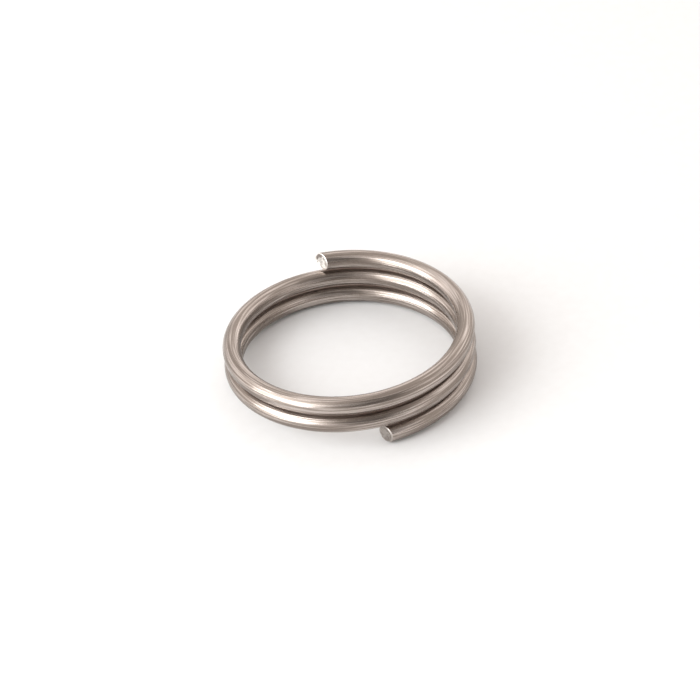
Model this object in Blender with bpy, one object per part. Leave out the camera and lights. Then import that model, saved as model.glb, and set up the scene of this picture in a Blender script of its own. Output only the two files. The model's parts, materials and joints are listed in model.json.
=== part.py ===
"""Split key ring: one round steel wire wound into a close, right-handed coil of about two and a half turns.

The wire has two free ends. To put a key on, a fingernail prises one end away from the turn beside it, and that
whole end turn twists along its length. So the wire is modelled as stretches, cut square across where the two end
turns twist and left whole in between. Each stretch turns about the wire's own line at the cut nearer the bottom
end, and that cut is the object's origin. The bottom end's stretch is the root of the chain.

The coil's axis is Z. The origin is on that axis, at the height of the wire's lowest point. Units are metres.
"""

from math import cos, radians, sin, tau

import bmesh
import bpy
from mathutils import Matrix, Vector

# Driving dimensions of the coil.
OUTSIDE_DIAMETER = 0.025
WIRE_DIAMETER = 0.0018
PITCH = 0.00208  # from one turn to the next, so neighbouring turns stand 0.28 mm apart
TURNS = 2.49
TOP_END_ANGLE = radians(100)  # from +X; the wire runs clockwise, seen from above, as it goes down

# The two ends are sheared on the slant. Seen from above, both faces are turned this much anticlockwise from square,
# so the top end's face looks a little into the ring and the bottom end's a little out of it.
SHEAR_SLANT = radians(23)

# How the wire is cut into stretches, which are all of one length except the whole middle one.
STRETCH_LENGTHS = 20  # along the whole wire, so each is close to an eighth of a turn
CUT_GAP = 0.00005  # left open at a cut, so that the two faces there never touch

# Fineness of the solids.
STEPS_PER_STRETCH = 6
STUB_LENGTH = 0.0002  # a straight start and finish, which keeps each end face square to the wire
SIDES_SETTING = 4  # bevel resolution, which gives the wire 12 sides
SHEAR_OVERRUN = 0.0006  # an end stretch starts out this much too long, for the slanted cut to trim
WELD_DISTANCE = 0.00001
SMOOTHING_LIMIT = radians(40)

WIRE_RADIUS = WIRE_DIAMETER / 2
COIL_RADIUS = OUTSIDE_DIAMETER / 2 - WIRE_RADIUS
STRETCH_TURNS = TURNS / STRETCH_LENGTHS

# Each stretch in order down the wire, with how many stretch lengths it takes.
STRETCHES = (
    ("top_end", 1),
    ("top_coil_back_right", 1),
    ("top_coil_right", 1),
    ("top_coil_front_right", 1),
    ("top_coil_front", 1),
    ("top_coil_front_left", 1),
    ("top_coil_left", 1),
    ("middle_coil", 6),
    ("bottom_coil_front_left", 1),
    ("bottom_coil_left", 1),
    ("bottom_coil_back_left", 1),
    ("bottom_coil_back", 1),
    ("bottom_coil_back_right", 1),
    ("bottom_coil_right", 1),
    ("bottom_end", 1),
)


def wire_point(turns_down):
    """The centre of the wire, this many turns down from its top end."""
    angle = TOP_END_ANGLE - tau * turns_down
    height = WIRE_RADIUS + PITCH * (TURNS - turns_down)
    return Vector((COIL_RADIUS * cos(angle), COIL_RADIUS * sin(angle), height))


def wire_direction(turns_down):
    """The unit vector along the wire there, pointing down the coil."""
    angle = TOP_END_ANGLE - tau * turns_down
    around = tau * COIL_RADIUS
    return Vector((around * sin(angle), -around * cos(angle), -PITCH)).normalized()


def centre_line(first, last, gap_above, gap_below):
    """Points along the wire from one cut to the next, with straight stubs that square off both ends."""
    steps = round((last - first) / STRETCH_TURNS) * STEPS_PER_STRETCH
    start, down_from_start = wire_point(first), wire_direction(first)
    finish, down_to_finish = wire_point(last), wire_direction(last)
    points = [
        start + down_from_start * gap_above,
        start + down_from_start * (gap_above + STUB_LENGTH),
    ]
    points += [wire_point(first + (last - first) * i / steps) for i in range(1, steps)]
    points += [
        finish - down_to_finish * (gap_below + STUB_LENGTH),
        finish - down_to_finish * gap_below,
    ]
    return points


def drawn_steel():
    material = bpy.data.materials.new("drawn_steel")
    material.use_nodes = True
    shader = material.node_tree.nodes["Principled BSDF"]
    shader.inputs["Base Color"].default_value = (0.56, 0.53, 0.50, 1)
    shader.inputs["Metallic"].default_value = 1.0
    shader.inputs["Roughness"].default_value = 0.32
    return material


def stretch_of_wire(name, points, origin, material, collection):
    """A round wire along the points, as a curve object whose origin is the point that it turns about."""
    curve = bpy.data.curves.new(name, "CURVE")
    curve.dimensions = "3D"
    curve.twist_mode = "Z_UP"
    curve.bevel_depth = WIRE_RADIUS
    curve.bevel_resolution = SIDES_SETTING
    curve.use_fill_caps = True
    spline = curve.splines.new("POLY")
    spline.points.add(len(points) - 1)
    for spline_point, point in zip(spline.points, points):
        spline_point.co = (*(point - origin), 1)
    spline.use_smooth = True
    curve.materials.append(material)
    stretch = bpy.data.objects.new(name, curve)
    stretch.location = origin
    collection.objects.link(stretch)
    return stretch


def sheared(stretch, end_point, outward, collection):
    """A mesh in place of the end stretch, cut flat through the end point with its face turned by the slant."""
    mesh = bpy.data.meshes.new_from_object(stretch.evaluated_get(bpy.context.evaluated_depsgraph_get()))
    cut_point = end_point - stretch.location
    facing = Matrix.Rotation(SHEAR_SLANT, 3, "Z") @ outward
    wire = bmesh.new()
    wire.from_mesh(mesh)
    bmesh.ops.remove_doubles(wire, verts=wire.verts, dist=WELD_DISTANCE)
    whole = wire.verts[:] + wire.edges[:] + wire.faces[:]
    trimmed = bmesh.ops.bisect_plane(
        wire, geom=whole, plane_co=cut_point, plane_no=facing, clear_outer=True
    )
    rim = [part for part in trimmed["geom_cut"] if isinstance(part, bmesh.types.BMEdge)]
    bmesh.ops.edgeloop_fill(wire, edges=rim)
    bmesh.ops.recalc_face_normals(wire, faces=wire.faces)
    wire.to_mesh(mesh)
    wire.free()
    mesh.shade_smooth()
    mesh.set_sharp_from_angle(angle=SMOOTHING_LIMIT)

    name, place = stretch.name, stretch.location.copy()
    bpy.data.objects.remove(stretch)
    cut_stretch = bpy.data.objects.new(name, mesh)
    cut_stretch.location = place
    collection.objects.link(cut_stretch)
    return cut_stretch


def build_ring():
    for old in list(bpy.data.objects):
        bpy.data.objects.remove(old)
    collection = bpy.data.collections.new("split_key_ring")
    bpy.context.scene.collection.children.link(collection)
    steel = drawn_steel()

    # Worked from the bottom end up, because each stretch hangs on the one below it.
    below = None
    last = TURNS
    for name, lengths in reversed(STRETCHES):
        first = last - lengths * STRETCH_TURNS
        at_top_end = name == STRETCHES[0][0]
        at_bottom_end = below is None
        gap_above = -SHEAR_OVERRUN if at_top_end else CUT_GAP / 2
        gap_below = -SHEAR_OVERRUN if at_bottom_end else CUT_GAP / 2
        origin = wire_point(last)
        points = centre_line(first, last, gap_above, gap_below)
        stretch = stretch_of_wire(name, points, origin, steel, collection)
        if at_top_end:
            stretch = sheared(stretch, wire_point(0), -wire_direction(0), collection)
        if at_bottom_end:
            stretch = sheared(stretch, wire_point(TURNS), wire_direction(TURNS), collection)
        else:
            stretch.parent = below
            stretch.location -= parent_origin
        below, parent_origin, last = stretch, origin, first


build_ring()
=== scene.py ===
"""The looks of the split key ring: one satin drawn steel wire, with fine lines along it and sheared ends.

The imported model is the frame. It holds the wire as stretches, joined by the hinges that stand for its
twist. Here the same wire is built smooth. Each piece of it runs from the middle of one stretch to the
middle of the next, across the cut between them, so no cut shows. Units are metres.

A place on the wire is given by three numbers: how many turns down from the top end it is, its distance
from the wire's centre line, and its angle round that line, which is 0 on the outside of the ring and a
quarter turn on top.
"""

import json
from math import atan2, cos, exp, pi, radians, sin, tan, tau

import bpy
from mathutils import Matrix, Vector, noise

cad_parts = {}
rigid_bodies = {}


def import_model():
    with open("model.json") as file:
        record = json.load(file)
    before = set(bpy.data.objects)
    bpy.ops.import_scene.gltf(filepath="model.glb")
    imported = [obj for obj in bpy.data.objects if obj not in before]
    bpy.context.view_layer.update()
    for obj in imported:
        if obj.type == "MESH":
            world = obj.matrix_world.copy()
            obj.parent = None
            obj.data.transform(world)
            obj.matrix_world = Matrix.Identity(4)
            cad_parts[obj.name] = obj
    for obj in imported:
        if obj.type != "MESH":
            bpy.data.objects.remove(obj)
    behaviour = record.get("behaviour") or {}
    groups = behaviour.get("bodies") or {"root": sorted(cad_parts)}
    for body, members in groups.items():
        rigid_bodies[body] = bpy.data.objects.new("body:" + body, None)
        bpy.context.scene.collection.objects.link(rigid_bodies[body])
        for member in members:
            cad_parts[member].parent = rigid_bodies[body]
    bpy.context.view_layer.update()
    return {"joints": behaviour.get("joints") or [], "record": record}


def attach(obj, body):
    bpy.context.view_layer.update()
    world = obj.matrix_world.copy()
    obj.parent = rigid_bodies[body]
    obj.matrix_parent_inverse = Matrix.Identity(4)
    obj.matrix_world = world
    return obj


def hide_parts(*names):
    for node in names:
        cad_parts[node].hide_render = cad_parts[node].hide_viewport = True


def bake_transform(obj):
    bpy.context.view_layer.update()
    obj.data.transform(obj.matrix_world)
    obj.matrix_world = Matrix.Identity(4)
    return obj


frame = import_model()

# --------------------------------------------------------------------------------------------------
# The coil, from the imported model
# --------------------------------------------------------------------------------------------------

mounts = {mount["name"]: mount for mount in frame["record"]["mounts"]}
top_tip = Vector(mounts["top_end_face"]["pos_m"])
bottom_tip = Vector(mounts["bottom_end_face"]["pos_m"])

WHOLE_TURNS = 2  # what the coil has on top of the part turn between its two tips
COIL_RADIUS = top_tip.xy.length
WIRE_RADIUS = bottom_tip.z  # the wire's lowest point is at z = 0
TOP_ANGLE = atan2(top_tip.y, top_tip.x)
TURNS = WHOLE_TURNS + (TOP_ANGLE - atan2(bottom_tip.y, bottom_tip.x)) % tau / tau
PITCH = (top_tip.z - bottom_tip.z) / TURNS
LENGTH_OF_A_TURN = ((tau * COIL_RADIUS) ** 2 + PITCH**2) ** 0.5
MAP_UNITS_PER_TURN = LENGTH_OF_A_TURN / (tau * WIRE_RADIUS)  # the wire's map counts in its girths
CENTRE = Vector((0, 0, (top_tip.z + bottom_tip.z) / 2))


def wire_frame(turns_down):
    """The wire's centre, with unit vectors out from the coil's axis, up across the wire and along it."""
    angle = TOP_ANGLE - tau * turns_down
    out = Vector((cos(angle), sin(angle), 0))
    centre = out * COIL_RADIUS
    centre.z = top_tip.z - PITCH * turns_down
    around = tau * COIL_RADIUS
    along = Vector((sin(angle) * around, -cos(angle) * around, -PITCH)).normalized()
    return centre, out, along.cross(out), along


def on_wire(turns_down, radius, angle_round):
    centre, out, up, _ = wire_frame(turns_down)
    return centre + (out * cos(angle_round) + up * sin(angle_round)) * radius


def way_out_of_wire(turns_down, angle_round):
    _, out, up, _ = wire_frame(turns_down)
    return out * cos(angle_round) + up * sin(angle_round)


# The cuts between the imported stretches, from the top of the wire down. Each child body is the upper one.
cuts = [
    {
        "turns": (top_tip.z - joint["pos_m"][2]) / PITCH,
        "name": joint["name"],
        "upper": joint["child"],
        "lower": joint["parent"],
    }
    for joint in frame["joints"]
]
cuts.sort(key=lambda cut: cut["turns"])
HALF_STRETCH = cuts[0]["turns"] / 2

# The side of the wire at which the shear's blade came in, as an angle round the wire.
TOP_BLADE_SIDE = radians(140)
BOTTOM_BLADE_SIDE = radians(40)

# --------------------------------------------------------------------------------------------------
# Materials
# --------------------------------------------------------------------------------------------------

STEEL = (0.640, 0.570, 0.528, 1)
STEEL_IN_THE_LINES = (0.250, 0.210, 0.183, 1)
# Dark brown where two turns nearly touch: partly grime, partly painted shade in the groove between them.
GROOVE_GRIME_AND_SHADE = (0.110, 0.050, 0.030, 1)
TORN_FACE, TORN_PITS = (0.86, 0.83, 0.79, 1), (0.16, 0.13, 0.115, 1)
CUT_FACE, CUT_PITS = (0.46, 0.42, 0.39, 1), (0.20, 0.17, 0.15, 1)
PAPER, PAPER_FIBRES = (0.745, 0.74, 0.735, 1), (0.785, 0.785, 0.785, 1)

# How many of each kind of line there are round the wire, and end to end along one girth's length of it.
HAIRLINES = (70, 1.4)
SCORES = (32, 0.6)
SLOW_BANDS = (9, 0.22)
LINE_RELIEF = 0.000026
# How far each kind takes the steel towards its colour in the lines.
HAIRLINES_DARKEN, SCORES_DARKEN, BANDS_DARKEN = 0.50, 0.95, 0.35

# Where the grime and painted shade between the turns begins and is full, and how thick it gets.
GRIME_AND_SHADE_STARTS_AT, GRIME_AND_SHADE_FULL_AT = 0.90, 0.995  # as a height on the wire's round section, 1 at its top
THINNEST_GRIME_AND_SHADE, THICKEST_GRIME_AND_SHADE = 0.35, 0.60
NEIGHBOUR_FADES_IN = 0.01  # turns either side of a whole turn from a tip, where the next turn begins

# On the end faces.
SMEAR_IS_ROUND_BY = radians(88)  # from the blade's side to where it smeared the face
FURROW_IS_IN_BY = 0.15  # from the rim, in wire radii
FACE_RELIEF = 0.00004


class Shading:
    """A material's nodes, made and joined in one call each."""

    def __init__(self, tree):
        self.tree = tree

    def add(self, kind, settings=None, **inputs):
        node = self.tree.nodes.new(kind)
        for name, value in (settings or {}).items():
            setattr(node, name, value)
        for name, value in inputs.items():
            socket = self.socket(node, name)
            if isinstance(value, bpy.types.NodeSocket):
                self.tree.links.new(value, socket)
            else:
                socket.default_value = value
        return node

    @staticmethod
    def socket(node, name):
        """An input by its name in lower case with underscores, or by its number after an underscore."""
        if name[1:].isdigit():
            return node.inputs[int(name[1:])]
        return next(s for s in node.inputs if s.name.lower().replace(" ", "_") == name and s.enabled)

    def math(self, operation, a, b=0.0, clamp=False):
        settings = {"operation": operation, "use_clamp": clamp}
        return self.add("ShaderNodeMath", settings, _0=a, _1=b).outputs[0]

    def noise(self, vector, scale, detail=2.0, roughness=0.5):
        node = self.add(
            "ShaderNodeTexNoise", vector=vector, scale=scale, detail=detail, roughness=roughness
        )
        return node.outputs["Fac"]

    def spread(self, value, low, high, to_low=0.0, to_high=1.0):
        """The value's range from low to high becomes the range from to_low to to_high."""
        node = self.add(
            "ShaderNodeMapRange",
            value=value,
            from_min=low,
            from_max=high,
            to_min=to_low,
            to_max=to_high,
        )
        return node.outputs["Result"]

    def mix(self, share, a, b):
        node = self.add("ShaderNodeMix", {"data_type": "RGBA"})
        for name, value in (("Factor", share), ("A", a), ("B", b)):
            socket = next(s for s in node.inputs if s.name == name and s.enabled)
            if isinstance(value, bpy.types.NodeSocket):
                self.tree.links.new(value, socket)
            else:
                socket.default_value = value
        return next(s for s in node.outputs if s.enabled)


def new_material(name):
    material = bpy.data.materials.new(name)
    material.use_nodes = True
    shader = material.node_tree.nodes["Principled BSDF"]
    return material, shader, Shading(material.node_tree)


def drawn_steel():
    """Satin wire. The die left lines along it, so its gloss spreads round the wire and not along it."""
    material, shader, make = new_material("drawn_steel")
    wire_map = make.add("ShaderNodeUVMap", {"uv_map": "wire"}).outputs["UV"]
    split = make.add("ShaderNodeSeparateXYZ", vector=wire_map)
    round_wire, down_wire = split.outputs["X"], split.outputs["Y"]

    def lines(counts, detail):
        """Noise drawn out along the wire."""
        multiply = {"operation": "MULTIPLY"}
        stretched = make.add("ShaderNodeVectorMath", multiply, _0=wire_map, _1=(*counts, 1))
        return make.noise(stretched.outputs[0], 1.0, detail)

    def where_turns_meet(facing, first_meeting):
        """1 on the side of the wire that faces the next turn, along the part of the wire that has one."""
        upward = make.math("SINE", make.math("MULTIPLY", round_wire, tau))
        meets = make.spread(upward, GRIME_AND_SHADE_STARTS_AT * facing, GRIME_AND_SHADE_FULL_AT * facing)
        nothing_at = (first_meeting - NEIGHBOUR_FADES_IN * facing) * MAP_UNITS_PER_TURN
        is_there_at = (first_meeting + NEIGHBOUR_FADES_IN * facing) * MAP_UNITS_PER_TURN
        has_neighbour = make.spread(down_wire, nothing_at, is_there_at)
        return make.math("MULTIPLY", meets, has_neighbour)

    hairlines = lines(HAIRLINES, 3.0)
    scores = lines(SCORES, 2.0)
    bands = lines(SLOW_BANDS, 1.0)
    smudges = make.noise(wire_map, 1.3, 3.0)

    # Darker lines where the die scored the wire, over slow bands a little lighter and darker.
    in_hairlines = make.spread(hairlines, 0.40, 0.60, HAIRLINES_DARKEN, 0.0)
    in_scores = make.spread(scores, 0.40, 0.58, SCORES_DARKEN, 0.0)
    in_bands = make.spread(bands, 0.35, 0.65, BANDS_DARKEN, 0.0)
    darker = make.math("ADD", make.math("ADD", in_hairlines, in_scores), in_bands, clamp=True)
    steel = make.mix(darker, STEEL, STEEL_IN_THE_LINES)

    # Painted shade, mixed with drawing lubricant and pocket dirt, darkens the wire where two turns nearly
    # touch.
    # The wire has a turn above it from one turn down its length, and one below it until its last turn.
    on_top = where_turns_meet(1, 1)
    below = where_turns_meet(-1, TURNS - 1)
    patchy = make.spread(smudges, 0.3, 0.6, THINNEST_GRIME_AND_SHADE, THICKEST_GRIME_AND_SHADE)
    grime_and_shade = make.math("MULTIPLY", make.math("ADD", on_top, below), patchy)
    colour = make.mix(grime_and_shade, steel, GROOVE_GRIME_AND_SHADE)

    # Rougher in the lines, where it has been handled, and under the grime and painted shade.
    rough_hairlines = make.spread(hairlines, 0.3, 0.7, 0.16, 0.10)
    rough_scores = make.spread(scores, 0.3, 0.7, 0.13, 0.09)
    handled = make.spread(smudges, 0.35, 0.7, 0.0, 0.06)
    satin = make.math("ADD", rough_hairlines, rough_scores)
    dulled = make.math("ADD", handled, make.math("MULTIPLY", grime_and_shade, 0.2))
    roughness = make.math("ADD", satin, dulled)

    relief = make.math("ADD", hairlines, make.math("MULTIPLY", scores, 2.2))
    bump = make.add("ShaderNodeBump", distance=LINE_RELIEF, strength=0.6, height=relief)
    tangent = make.add("ShaderNodeTangent", {"direction_type": "UV_MAP", "uv_map": "wire"})

    shader.inputs["Metallic"].default_value = 1.0
    shader.inputs["Anisotropic"].default_value = 0.65
    links = material.node_tree.links
    links.new(colour, shader.inputs["Base Color"])
    links.new(roughness, shader.inputs["Roughness"])
    links.new(bump.outputs["Normal"], shader.inputs["Normal"])
    links.new(tangent.outputs["Tangent"], shader.inputs["Tangent"])
    return material


def sheared_steel(name, tip_turns, blade_side, clean, pits, smear):
    """Bare metal on an end face: grains, a dark smear where the blade rubbed, and a furrow."""
    material, shader, make = new_material(name)
    wire_map = make.add("ShaderNodeUVMap", {"uv_map": "wire"}).outputs["UV"]
    split = make.add("ShaderNodeSeparateXYZ", vector=wire_map)
    place = make.add("ShaderNodeTexCoord").outputs["Object"]
    grain = make.noise(place, 7000.0, 2.0, 0.55)
    blotches = make.noise(place, 2400.0, 2.0)

    # The wire's map runs on over the face, and tells the angle round it and the distance in from its rim.
    past_the_rim = make.math("SUBTRACT", split.outputs["Y"], tip_turns * MAP_UNITS_PER_TURN)
    inward = make.math("MULTIPLY", make.math("ABSOLUTE", past_the_rim), tau)
    angle = make.math("MULTIPLY", split.outputs["X"], tau)

    def towards(side):
        """From 0 in the middle of the face to 1 at the rim on that side."""
        straight = make.math("COSINE", make.math("SUBTRACT", angle, side))
        return make.math("MULTIPLY", straight, make.math("SUBTRACT", 1.0, inward))

    ragged = make.spread(blotches, 0.3, 0.7, -0.16, 0.16)
    rubbed = make.spread(make.math("ADD", towards(blade_side - SMEAR_IS_ROUND_BY), ragged), 0.34, 0.50)
    smeared = make.math("MULTIPLY", rubbed, smear)
    off_the_furrow = make.math("ABSOLUTE", make.math("SUBTRACT", inward, FURROW_IS_IN_BY))
    in_the_furrow = make.spread(off_the_furrow, 0.04, 0.10, 1.0, 0.0)
    furrow = make.math("MULTIPLY", in_the_furrow, make.spread(towards(blade_side), 0.1, 0.5))
    marked = make.math("MULTIPLY", make.math("MAXIMUM", smeared, furrow), 0.9)
    pitted = make.spread(make.math("ADD", grain, blotches), 0.78, 1.0, 0.75, 0.0)
    inside_the_rim = make.spread(inward, 0.02, 0.07)
    dark = make.math("MULTIPLY", make.math("MAXIMUM", marked, pitted), inside_the_rim)

    relief = make.math("ADD", grain, make.math("MULTIPLY", blotches, 2.0))
    bump = make.add("ShaderNodeBump", distance=FACE_RELIEF, strength=0.4, height=relief)
    shader.inputs["Metallic"].default_value = 1.0
    links = material.node_tree.links
    links.new(make.mix(dark, clean, pits), shader.inputs["Base Color"])
    links.new(make.spread(grain, 0.3, 0.7, 0.5, 0.34), shader.inputs["Roughness"])
    links.new(bump.outputs["Normal"], shader.inputs["Normal"])
    return material


def torn_steel():
    """The top end, freshly broken and bright."""
    return sheared_steel("torn_steel", 0, TOP_BLADE_SIDE, TORN_FACE, TORN_PITS, smear=1.0)


def cut_steel():
    """The bottom end, cut more cleanly, its face coloured darker than the top end's."""
    return sheared_steel("cut_steel", TURNS, BOTTOM_BLADE_SIDE, CUT_FACE, CUT_PITS, smear=0.5)


def pale_paper():
    """The plain floor."""
    material, shader, make = new_material("pale_paper")
    place = make.add("ShaderNodeTexCoord").outputs["Object"]
    fibres = make.noise(place, 900.0, 3.0)
    colour = make.mix(fibres, PAPER, PAPER_FIBRES)
    material.node_tree.links.new(colour, shader.inputs["Base Color"])
    shader.inputs["Roughness"].default_value = 0.75
    shader.inputs["Specular IOR Level"].default_value = 0.2
    return material


# --------------------------------------------------------------------------------------------------
# The wire's mesh
# --------------------------------------------------------------------------------------------------

SIDES = 64
RINGS_PER_STRETCH = 60
RING_STEP = 2 * HALF_STRETCH / RINGS_PER_STRETCH

MAIN_STEEL, FACE_STEEL = 0, 1  # the wire pieces' material slots


def side_angles():
    return [tau * side / SIDES for side in range(SIDES)]


class WirePiece:
    """A closed length of wire, given ring by ring from its upper end to its lower one."""

    def __init__(self, name):
        self.name = name
        self.points = []
        self.faces = []
        self.face_materials = []
        self.turns_of_ring = []
        self.seams = []  # (ring number, turns down) where the wire carries on in the next piece

    def add_ring(self, points, turns_down, material=MAIN_STEEL):
        """Adds a ring of points and joins it to the ring before, in the material given."""
        first = len(self.points)
        self.points += points
        if self.turns_of_ring:
            for side in range(SIDES):
                after = (side + 1) % SIDES
                here, before = first + side, first - SIDES + side
                self.faces.append((before, first - SIDES + after, first + after, here))
                self.face_materials.append(material)
        self.turns_of_ring.append(turns_down)

    def close(self, ring, facing_down, material=MAIN_STEEL):
        """A flat cap over a ring."""
        around = [ring * SIDES + side for side in range(SIDES)]
        self.faces.append(tuple(around if facing_down else reversed(around)))
        self.face_materials.append(material)

    def finished(self, materials):
        mesh = bpy.data.meshes.new(self.name)
        mesh.from_pydata(self.points, [], self.faces)
        for material in materials:
            mesh.materials.append(material)
        for face, material in zip(mesh.polygons, self.face_materials):
            face.material_index = material
        mesh.shade_smooth()
        self.map_the_wire(mesh)
        self.hide_the_seams(mesh)
        piece = bpy.data.objects.new(self.name, mesh)
        bpy.context.scene.collection.objects.link(piece)
        return piece

    def map_the_wire(self, mesh):
        """A map with U once round the wire and V along it, to the same scale."""
        wire_map = mesh.uv_layers.new(name="wire")
        for face in mesh.polygons:
            places = [divmod(mesh.loops[loop].vertex_index, SIDES) for loop in face.loop_indices]
            wraps = {side for _, side in places} >= {0, SIDES - 1}
            for loop, (ring, side) in zip(face.loop_indices, places):
                round_wire = 1.0 if wraps and side == 0 else side / SIDES
                wire_map.data[loop].uv = (round_wire, self.turns_of_ring[ring] * MAP_UNITS_PER_TURN)

    def hide_the_seams(self, mesh):
        """Gives the points at a seam the true normal of the whole wire, so that two pieces shade as one."""
        true_normals = {}
        for ring, turns_down in self.seams:
            for side, angle in enumerate(side_angles()):
                true_normals[ring * SIDES + side] = way_out_of_wire(turns_down, angle)
        sharp = [False] * len(mesh.edges)
        for edge in mesh.edges:
            a, b = edge.vertices
            sharp[edge.index] = a in true_normals and b in true_normals
        mesh.attributes.new("sharp_edge", "BOOLEAN", "EDGE").data.foreach_set("value", sharp)
        keep = Vector((0, 0, 0))
        normals = [keep] * len(mesh.loops)
        for face in mesh.polygons:
            if len(face.vertices) > 4:
                continue
            for loop in face.loop_indices:
                normals[loop] = true_normals.get(mesh.loops[loop].vertex_index, keep)
        mesh.normals_split_custom_set(normals)


def plain_rings(piece, first, last):
    """Round rings from one place on the wire to another."""
    steps = max(1, round((last - first) / RING_STEP))
    for step in range(steps + 1):
        turns_down = first + (last - first) * step / steps
        piece.add_ring([on_wire(turns_down, WIRE_RADIUS, angle) for angle in side_angles()], turns_down)


def wire_between(name, first, last, materials):
    piece = WirePiece(name)
    plain_rings(piece, first, last)
    piece.seams = [(0, first), (len(piece.turns_of_ring) - 1, last)]
    piece.close(0, facing_down=False)
    piece.close(len(piece.turns_of_ring) - 1, facing_down=True)
    return piece.finished(materials)


# --------------------------------------------------------------------------------------------------
# The sheared ends
# --------------------------------------------------------------------------------------------------

SLANT_FADES_OVER = 0.0022  # how far back from a tip the rings are still leaning over
TIP_RINGS = 24
EDGE_RINGS = 6
FACE_RINGS = 14

SHARPEST_EDGE = 0.30  # of the widest rounding of the edge, on the side away from the blade
BURR_STARTS_AT = 0.35  # as the cosine of the angle from the burr's middle
BURR_STANDS_OFF, BURR_SPREADS_OUT = 0.8, 0.7  # along the wire and out from it, as shares of its height
TEAR_STARTS_AT, TEAR_SOFTNESS = 0.15, 0.07  # in wire radii from the face's middle towards the blade
MOAT_RADIUS, MOAT_WIDTH = 0.74, 0.07  # in wire radii
MOAT_DEPTH = 0.9  # as a share of the step down to the torn metal
LUMPS, GRAINS = 2.2, 7  # how many there are along one wire radius
GRAIN_HEIGHT = 0.45  # as a share of the lumps' height
SMOOTHEST = 0.25  # how much of the roughness is left where the metal isn't torn


class ShearedEnd:
    """How the shear left one end of the wire: its blade came in at one side and broke out at the other."""

    def __init__(self, face, tip_turns, blade_side, widest_edge, burr, step, roughness, seed):
        centre, out, up, along = wire_frame(tip_turns)
        self.outward = -1 if tip_turns == 0 else 1  # which way along the wire leads off its end
        self.tip_turns = tip_turns
        self.blade_side = blade_side
        self.widest_edge = widest_edge
        self.burr = burr
        self.step = step
        self.roughness = roughness
        self.seed = seed
        facing = Vector(face["axis"])
        off_the_end = along * self.outward
        self.lean_out = -facing.dot(out) / facing.dot(off_the_end)
        self.lean_up = -facing.dot(up) / facing.dot(off_the_end)

    def reach(self, radius, angle):
        """How far the slanted face stands off the end, beyond a square cut through the tip."""
        return radius * (self.lean_out * cos(angle) + self.lean_up * sin(angle))

    def place(self, radius, angle, beyond):
        """A point this far beyond the tip along the wire."""
        return on_wire(self.tip_turns + self.outward * beyond / LENGTH_OF_A_TURN, radius, angle)

    def edge_radius(self, angle):
        """The edge is rolled over where the blade came in and nearly sharp where the metal broke."""
        towards_blade = (1 + cos(angle - self.blade_side)) / 2
        return self.widest_edge * (SHARPEST_EDGE + (1 - SHARPEST_EDGE) * towards_blade)

    def burr_height(self, angle):
        """The torn lip on the side away from the blade."""
        nearness = cos(angle - self.blade_side - pi)
        if nearness < BURR_STARTS_AT:
            return 0.0
        ragged = noise.noise(Vector((cos(angle) * 3.1, sin(angle) * 3.1, self.seed)))
        share = (nearness - BURR_STARTS_AT) / (1 - BURR_STARTS_AT)
        return self.burr * share**1.5 * (1 + 0.9 * ragged)

    def relief(self, radius, angle):
        """The face's own ups and downs: smooth near the blade's side, then a step down to torn metal."""
        share = radius / WIRE_RADIUS
        x, y = share * cos(angle), share * sin(angle)
        towards_blade = x * cos(self.blade_side) + y * sin(self.blade_side)
        torn = 1 / (1 + exp((towards_blade - TEAR_STARTS_AT) / TEAR_SOFTNESS))
        lumps = noise.noise(Vector((x * LUMPS, y * LUMPS, self.seed)))
        grains = noise.noise(Vector((x * GRAINS, y * GRAINS, self.seed + 5)))
        moat = exp(-(((share - MOAT_RADIUS) / MOAT_WIDTH) ** 2)) * (1 - torn)
        return (
            self.roughness * (lumps + GRAIN_HEIGHT * grains) * (SMOOTHEST + (1 - SMOOTHEST) * torn)
            + self.step * torn * (0.5 - towards_blade)
            - self.step * MOAT_DEPTH * moat
        )

    def rings(self):
        """Every ring from the round wire to the middle of the face, as its points, turns and material."""
        back = SLANT_FADES_OVER
        full_lean = (1 - self.widest_edge / back) ** 0.5
        for number in range(TIP_RINGS):
            share = (1 - number / TIP_RINGS) ** 1.5
            points = []
            for angle in side_angles():
                behind = self.edge_radius(angle) + share * (back - self.edge_radius(angle))
                leaning = (1 - behind / back) ** 0.5 if behind < back else 0
                lifted = self.reach(WIRE_RADIUS, angle) * min(1, leaning / full_lean)
                points.append(self.place(WIRE_RADIUS, angle, lifted - behind))
            turns_down = self.tip_turns - self.outward * share * back / LENGTH_OF_A_TURN
            yield points, turns_down, MAIN_STEEL
        for number in range(EDGE_RINGS + 1):
            turn = pi / 2 * number / EDGE_RINGS
            points = []
            for angle in side_angles():
                rounding = self.edge_radius(angle)
                radius = WIRE_RADIUS - rounding * (1 - cos(turn))
                lip = self.burr_height(angle) * sin(2 * turn)
                beyond = self.reach(radius, angle) - rounding * (1 - sin(turn)) + lip * BURR_STANDS_OFF
                points.append(self.place(radius + lip * BURR_SPREADS_OUT, angle, beyond))
            yield points, self.tip_turns, MAIN_STEEL if turn < pi / 4 else FACE_STEEL
        for number in range(1, FACE_RINGS + 1):
            share = 1 - number / (FACE_RINGS + 0.4)
            points = []
            for angle in side_angles():
                radius = (WIRE_RADIUS - self.edge_radius(angle)) * share
                settled = min(1, number / 2)
                beyond = self.reach(radius, angle) + settled * self.relief(radius, angle)
                points.append(self.place(radius, angle, beyond))
            inward = (1 - share) * WIRE_RADIUS
            yield points, self.tip_turns + self.outward * inward / LENGTH_OF_A_TURN, FACE_STEEL


TOP_SHEAR = ShearedEnd(
    mounts["top_end_face"],
    tip_turns=0,
    blade_side=TOP_BLADE_SIDE,
    widest_edge=0.00011,
    burr=0.00022,
    step=0.00006,
    roughness=0.00005,
    seed=2.3,
)
BOTTOM_SHEAR = ShearedEnd(
    mounts["bottom_end_face"],
    tip_turns=TURNS,
    blade_side=BOTTOM_BLADE_SIDE,
    widest_edge=0.00016,
    burr=0.00007,
    step=0.00003,
    roughness=0.00002,
    seed=7.9,
)


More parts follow.
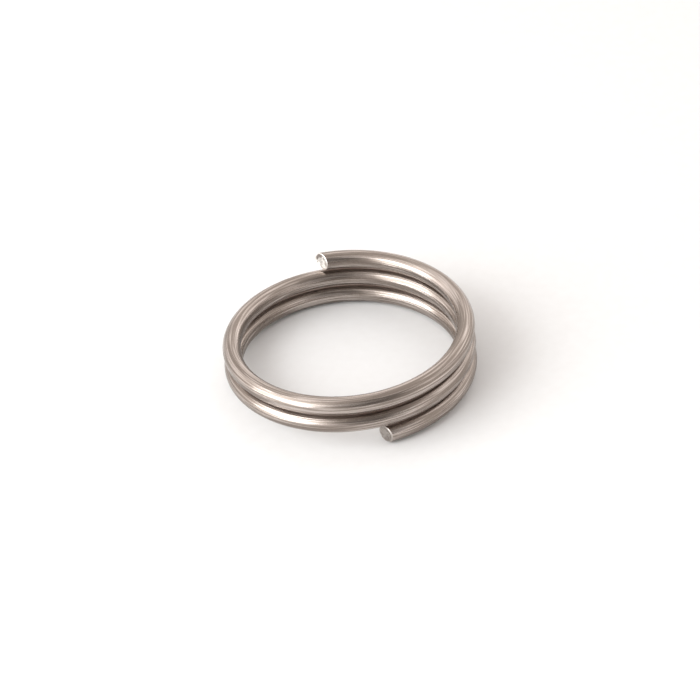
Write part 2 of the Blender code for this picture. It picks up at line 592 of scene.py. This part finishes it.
def sheared_tip(name, shear, seam_turns, materials):
    """The last half stretch at one end of the wire, from the seam to the middle of the sheared face."""
    rings = list(shear.rings())
    start_of_slant = shear.tip_turns - shear.outward * SLANT_FADES_OVER / LENGTH_OF_A_TURN
    piece = WirePiece(name)
    if shear.outward > 0:
        plain_rings(piece, seam_turns, start_of_slant)
        for points, turns_down, material in rings[1:]:
            piece.add_ring(points, turns_down, material)
        piece.close(len(piece.turns_of_ring) - 1, facing_down=True, material=FACE_STEEL)
        piece.seams = [(0, seam_turns)]
        piece.close(0, facing_down=False)
    else:
        # From the face to the seam, so each ring's material belongs to the faces that lead on from it.
        rings.reverse()
        previous_material = FACE_STEEL
        for points, turns_down, material in rings[:-1]:
            piece.add_ring(points, turns_down, previous_material)
            previous_material = material
        piece.close(0, facing_down=False, material=FACE_STEEL)
        plain_rings(piece, start_of_slant, seam_turns)
        last = len(piece.turns_of_ring) - 1
        piece.seams = [(last, seam_turns)]
        piece.close(last, facing_down=True)
    return piece.finished(materials)


# --------------------------------------------------------------------------------------------------
# The wire's pieces, and the bodies that the tips and the middle move with
# --------------------------------------------------------------------------------------------------

def build_wire():
    steel = drawn_steel()
    first_seam = cuts[0]["turns"] - HALF_STRETCH
    last_seam = cuts[-1]["turns"] + HALF_STRETCH

    top = sheared_tip("wire_top_tip", TOP_SHEAR, first_seam, [steel, torn_steel()])
    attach(top, cuts[0]["upper"])
    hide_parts(cuts[0]["upper"])

    for cut in cuts:
        first, last = cut["turns"] - HALF_STRETCH, cut["turns"] + HALF_STRETCH
        piece = wire_between("wire_at_" + cut["name"], first, last, [steel])
        start, end = wire_frame(first)[0], wire_frame(last)[0]
        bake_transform(piece)
        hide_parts(cut["upper"], cut["lower"])

    # The one long gap between two cuts is the stretch that is left whole.
    gaps = zip(cuts, cuts[1:])
    before, after = max(gaps, key=lambda gap: gap[1]["turns"] - gap[0]["turns"])
    first, last = before["turns"] + HALF_STRETCH, after["turns"] - HALF_STRETCH
    middle = wire_between("wire_middle", first, last, [steel])
    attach(middle, before["lower"])
    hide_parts(before["lower"])

    bottom = sheared_tip("wire_bottom_tip", BOTTOM_SHEAR, last_seam, [steel, cut_steel()])
    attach(bottom, cuts[-1]["lower"])
    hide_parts(cuts[-1]["lower"])


# --------------------------------------------------------------------------------------------------
# The floor that the ring lies on
# --------------------------------------------------------------------------------------------------

FLOOR_LEAN = radians(2.74)  # the coil rests on its bottom tip and the back of its lowest turn, so it leans
FLOOR_LEANS_TOWARDS = radians(-53.6)
FLOOR_SIZE = 0.4  # ends before the soft box, so that no edge of its light shows from low viewpoints
FLOOR_GAP = 0.00001
SAMPLES_ALONG_WIRE = 2000


def floor_up():
    level = Vector((cos(FLOOR_LEANS_TOWARDS), sin(FLOOR_LEANS_TOWARDS), 0))
    return level * sin(FLOOR_LEAN) + Vector((0, 0, cos(FLOOR_LEAN)))


def lay_floor():
    up = floor_up()
    along_wire = (TURNS * sample / SAMPLES_ALONG_WIRE for sample in range(SAMPLES_ALONG_WIRE + 1))
    lowest = min(wire_frame(turns_down)[0].dot(up) for turns_down in along_wire) - WIRE_RADIUS
    mesh = bpy.data.meshes.new("floor")
    half = FLOOR_SIZE / 2
    corners = [(-half, -half, 0), (half, -half, 0), (half, half, 0), (-half, half, 0)]
    mesh.from_pydata(corners, [], [(0, 1, 2, 3)])
    mesh.materials.append(pale_paper())
    floor = bpy.data.objects.new("floor", mesh)
    floor.rotation_mode = "QUATERNION"
    floor.rotation_quaternion = up.to_track_quat("Z", "Y")
    floor.location = up * (lowest - FLOOR_GAP)
    bpy.context.scene.collection.objects.link(floor)


# --------------------------------------------------------------------------------------------------
# Light
# --------------------------------------------------------------------------------------------------

def direction(azimuth, elevation):
    """A unit vector towards that place in the studio, in degrees. Azimuth 0 is +X and 90 is +Y."""
    a, e = radians(azimuth), radians(elevation)
    return Vector((cos(a) * cos(e), sin(a) * cos(e), sin(e)))


KEY_DIRECTION = direction(205, 24)
KEY_DISTANCE = 0.2
KEY_WIDTH = 2 * KEY_DISTANCE * tan(radians(27))
KEY_HEIGHT = 2 * KEY_DISTANCE * tan(radians(29))
KEY_POWER = 0.49
KEY_COLOUR = (0.92, 0.97, 1.0)

ROOM_COLOUR = (1.0, 0.955, 0.925, 1)
ROOM_STRENGTH = 0.93
BACKDROP = (0.97, 0.95, 0.935, 1)

# Where the room is brighter or darker. Each patch keeps its full strength within one angle of its centre
# and has faded out by another, both in degrees.
GLOW_ROUND_BOX = dict(centre=direction(190, 30), full_within=10, gone_by=75, falloff=2, strength=1.0)
WINDOW = dict(centre=direction(68, 24), full_within=16, gone_by=50, falloff=1, strength=0.52)
FAR_WALL = dict(centre=direction(350, 35), full_within=15, gone_by=65, falloff=1, strength=0.22)
BEHIND_CAMERA = dict(centre=direction(285, 37), full_within=24, gone_by=38, falloff=1, strength=-0.68)


def light_studio():
    """A large soft box on the left, in a pale room, brighter round the box and darker behind the camera."""
    light = bpy.data.lights.new("soft_box", "AREA")
    light.shape = "RECTANGLE"
    light.size = KEY_WIDTH
    light.size_y = KEY_HEIGHT
    light.energy = KEY_POWER
    light.color = KEY_COLOUR
    soft_box = bpy.data.objects.new("soft_box", light)
    soft_box.location = CENTRE + KEY_DIRECTION * KEY_DISTANCE
    soft_box.rotation_mode = "QUATERNION"
    soft_box.rotation_quaternion = KEY_DIRECTION.to_track_quat("Z", "Y")
    bpy.context.scene.collection.objects.link(soft_box)

    world = bpy.data.worlds.new("pale_room")
    world.use_nodes = True
    tree = world.node_tree
    make = Shading(tree)
    looking = make.add("ShaderNodeTexCoord").outputs["Generated"]

    def patch(centre, full_within, gone_by, falloff, strength):
        towards = make.add("ShaderNodeVectorMath", {"operation": "DOT_PRODUCT"}, _0=looking, _1=centre)
        near = make.spread(towards.outputs["Value"], cos(radians(gone_by)), cos(radians(full_within)))
        return make.math("MULTIPLY", make.math("POWER", near, falloff), strength)

    room = ROOM_STRENGTH
    for place in (GLOW_ROUND_BOX, WINDOW, FAR_WALL, BEHIND_CAMERA):
        room = make.math("ADD", room, patch(**place))
    background = tree.nodes["Background"]
    background.inputs["Color"].default_value = ROOM_COLOUR
    tree.links.new(room, background.inputs["Strength"])
    backdrop = make.add("ShaderNodeBackground", color=BACKDROP)
    seen = make.add("ShaderNodeLightPath").outputs["Is Camera Ray"]
    both = make.add("ShaderNodeMixShader", _0=seen, _1=background.outputs[0], _2=backdrop.outputs[0])
    tree.links.new(both.outputs[0], tree.nodes["World Output"].inputs["Surface"])
    bpy.context.scene.world = world
    bpy.context.scene.view_settings.view_transform = "Standard"


# --------------------------------------------------------------------------------------------------
# Camera
# --------------------------------------------------------------------------------------------------

CAMERA_ELEVATION = radians(36.03)
CAMERA_ROLL = radians(5.13)
CAMERA_DISTANCE = 0.348
LENS_MM = 181.1
CAMERA_MOVED_RIGHT = 0.000046
CAMERA_MOVED_DOWN = 0.000356


def place_camera():
    """From the front, looking down on the ring through a long lens, turned a little about its own line."""
    back = Vector((0, -cos(CAMERA_ELEVATION), sin(CAMERA_ELEVATION)))
    level_right = Vector((1, 0, 0))
    level_up = Vector((0, sin(CAMERA_ELEVATION), cos(CAMERA_ELEVATION)))
    right = level_right * cos(CAMERA_ROLL) - level_up * sin(CAMERA_ROLL)
    up = level_right * sin(CAMERA_ROLL) + level_up * cos(CAMERA_ROLL)
    camera_data = bpy.data.cameras.new("camera")
    camera_data.lens = LENS_MM
    camera_data.clip_start = 0.01
    camera = bpy.data.objects.new("camera", camera_data)
    turned = Matrix((right, up, back)).transposed()
    camera.rotation_mode = "QUATERNION"
    camera.rotation_quaternion = turned.to_quaternion()
    camera.location = CENTRE + back * CAMERA_DISTANCE + right * CAMERA_MOVED_RIGHT - up * CAMERA_MOVED_DOWN
    bpy.context.scene.collection.objects.link(camera)
    bpy.context.scene.camera = camera


build_wire()
lay_floor()
light_studio()
place_camera()
